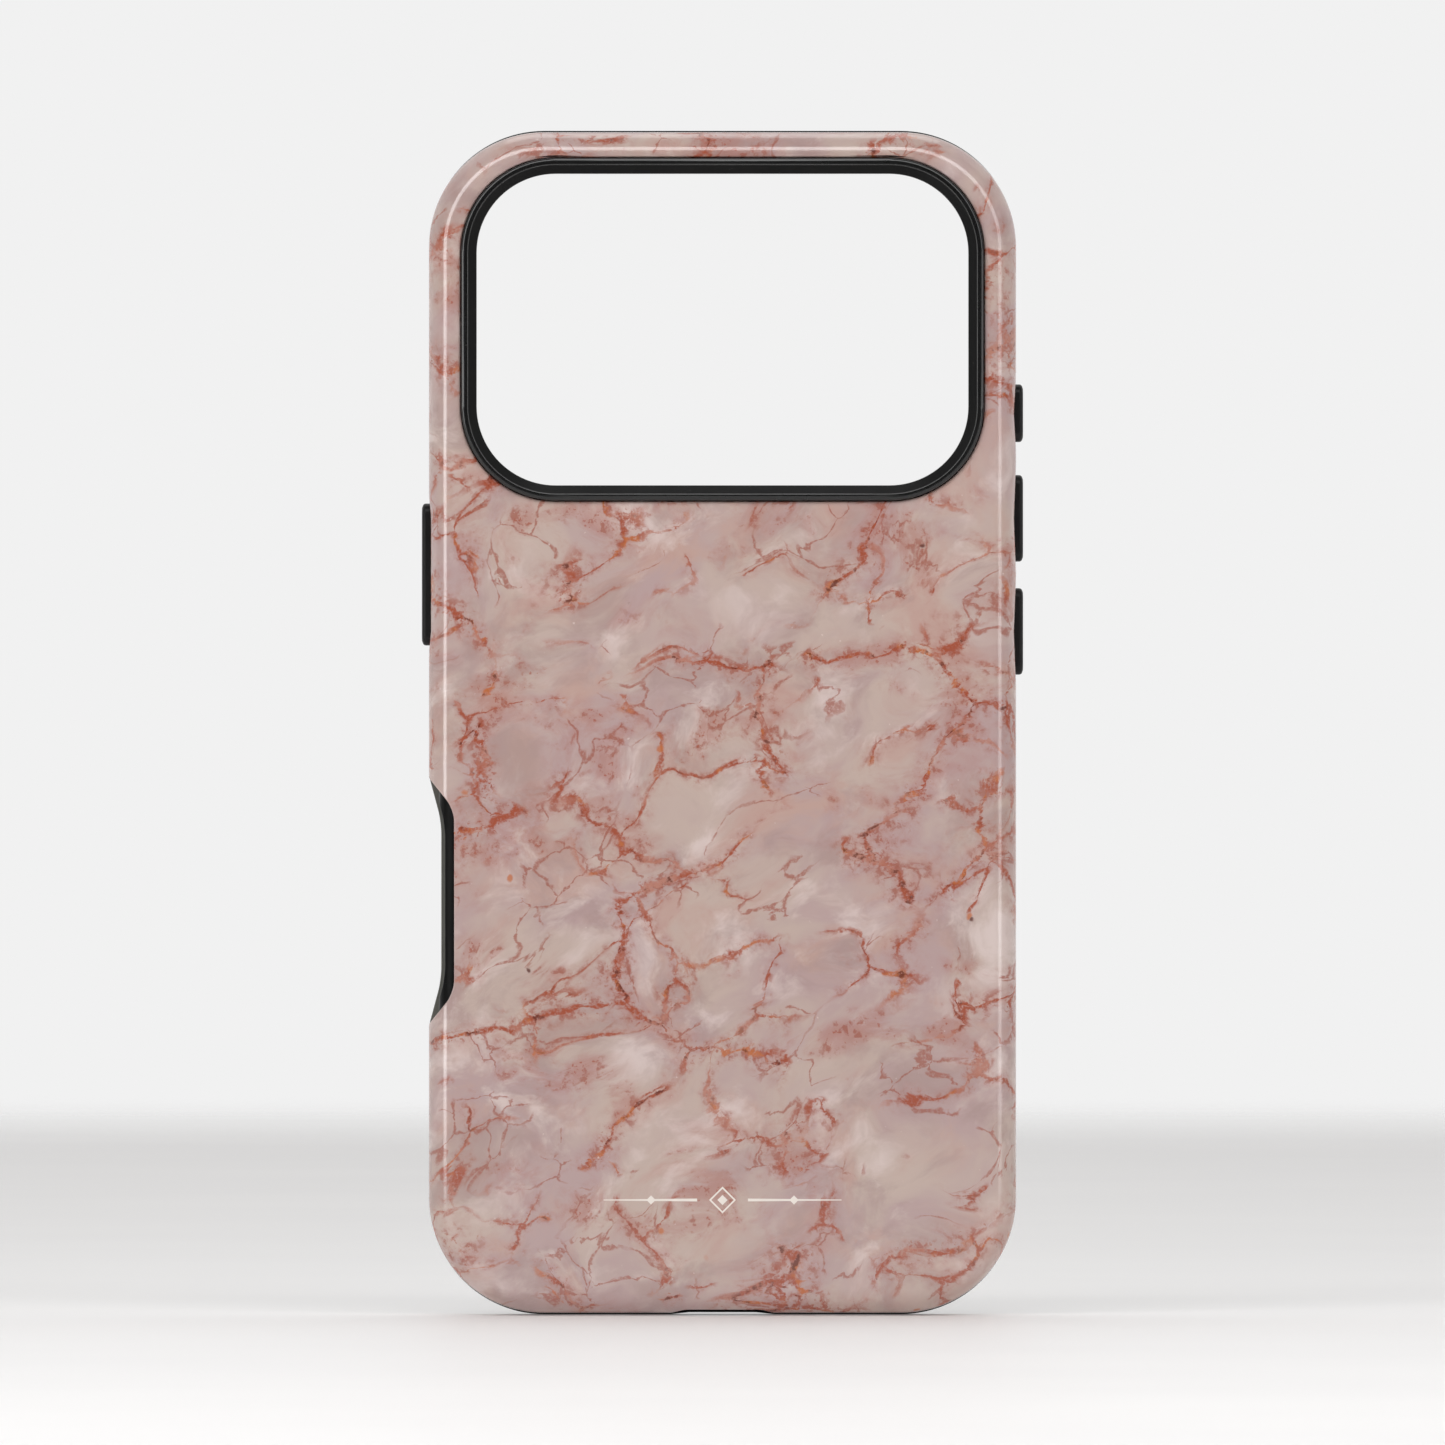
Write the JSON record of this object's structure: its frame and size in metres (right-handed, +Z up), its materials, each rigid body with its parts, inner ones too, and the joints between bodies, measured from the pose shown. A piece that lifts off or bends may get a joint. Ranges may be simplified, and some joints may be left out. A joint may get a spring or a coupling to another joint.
{
  "type": "phone case",
  "caption": "Two-layer protective phone case: hard marble-printed shell over a soft liner with sprung keys, a camera window with a raised collar and a bottom port opening.",
  "frame": {"origin": "middle of the liner's floor, on the face that the phone's back rests on", "axes": "+X to the right seen from the printed back, +Y from the printed back to the open screen side, +Z up towards the camera window"},
  "size_m": [0.0792, 0.0132, 0.1562],
  "materials": {
    "printed_shell": "gloss, pink marble print",
    "soft_liner": "fine matte",
    "soft_key": "fine matte",
    "soft_web": "fine matte"
  },
  "bodies": {
    "case": {"outer_shell": "printed_shell", "inner_liner": "soft_liner", "action_button_web": "soft_web", "volume_up_button_web": "soft_web", "volume_down_button_web": "soft_web", "side_button_web": "soft_web"},
    "action_button": {"action_button": "soft_key"},
    "volume_up_button": {"volume_up_button": "soft_key"},
    "volume_down_button": {"volume_down_button": "soft_key"},
    "side_button": {"side_button": "soft_key"}
  },
  "joints": [
    {"name": "action_button_press", "type": "slide", "parent": "case", "child": "action_button", "axis": [-1, 0, 0], "range_m": [0, 0.0004], "stiffness_N_per_m": 800, "deforming": ["action_button_web"]},
    {"name": "volume_up_button_press", "type": "slide", "parent": "case", "child": "volume_up_button", "axis": [-1, 0, 0], "range_m": [0, 0.0004], "stiffness_N_per_m": 800, "deforming": ["volume_up_button_web"]},
    {"name": "volume_down_button_press", "type": "slide", "parent": "case", "child": "volume_down_button", "axis": [-1, 0, 0], "range_m": [0, 0.0004], "stiffness_N_per_m": 800, "deforming": ["volume_down_button_web"]},
    {"name": "side_button_press", "type": "slide", "parent": "case", "child": "side_button", "axis": [1, 0, 0], "range_m": [0, 0.0004], "stiffness_N_per_m": 800, "deforming": ["side_button_web"]}
  ]
}
